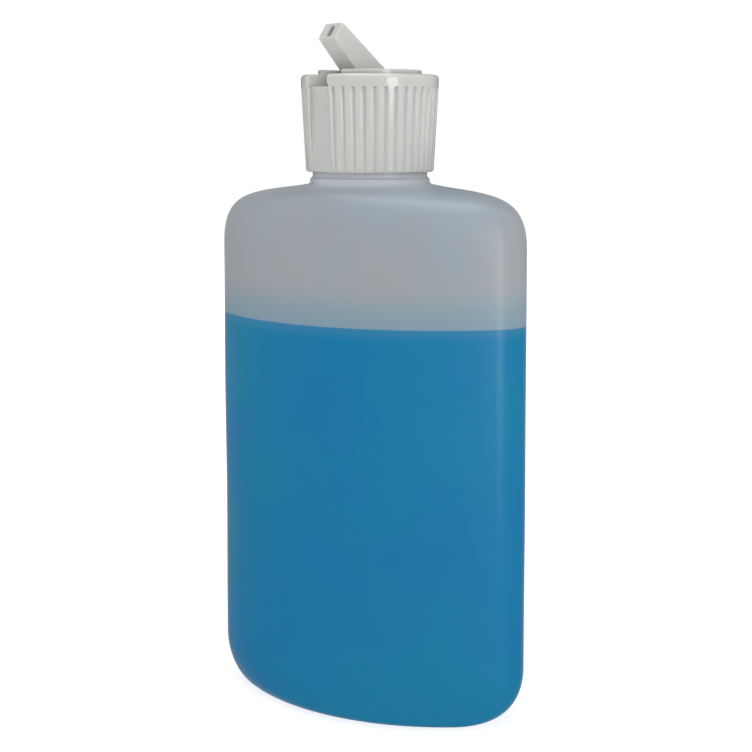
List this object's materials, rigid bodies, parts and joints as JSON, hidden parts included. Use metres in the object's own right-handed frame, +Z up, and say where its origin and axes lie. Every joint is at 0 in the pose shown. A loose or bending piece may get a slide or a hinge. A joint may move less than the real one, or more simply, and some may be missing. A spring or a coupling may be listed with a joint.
{
  "type": "flip-spout squeeze bottle",
  "caption": "Oval translucent squeeze bottle, part filled with blue liquid, with a ribbed screw cap and a square spout that flips up out of a slot in the cap.",
  "frame": {"origin": "on the ground plane under the neck's axis, which is the middle of the rest ring", "axes": "+Z up along the neck's axis, X along the bottle's width, Y along its depth with the front broad face towards -Y"},
  "size_m": [0.07, 0.0366, 0.1423],
  "materials": {
    "bottle_plastic": "translucent natural polyethylene, satin with a fine orange-peel texture",
    "blue_liquid": "clear blue liquid",
    "cap_plastic": "white polypropylene, smooth satin",
    "spout_plastic": "white polypropylene, smooth satin",
    "liner_foam": "white closed-cell foam"
  },
  "bodies": {
    "bottle": {"bottle": "bottle_plastic", "liquid": "blue_liquid"},
    "liner": {"cap_liner": "liner_foam"},
    "cap": {"cap": "cap_plastic"},
    "spout": {"spout": "spout_plastic"}
  },
  "joints": [
    {"name": "cap_lift", "type": "slide", "parent": "bottle", "child": "liner", "axis": [0, 0, 1], "range_m": [0, 0.00477]},
    {"name": "cap_turn", "type": "hinge", "parent": "liner", "child": "cap", "pos_m": [0, 0, 0.1204], "axis": [0, 0, 1], "range_deg": [0, 540]},
    {"name": "spout_flip", "type": "hinge", "parent": "cap", "child": "spout", "pos_m": [0, 0, 0.1313], "axis": [-0.9304, 0.3665, 0], "range_deg": [-39.5, 46.75]}
  ],
  "couplings": [
    {"joint": "cap_lift", "follows": "cap_turn", "m_per_rad": 0.00050532}
  ]
}
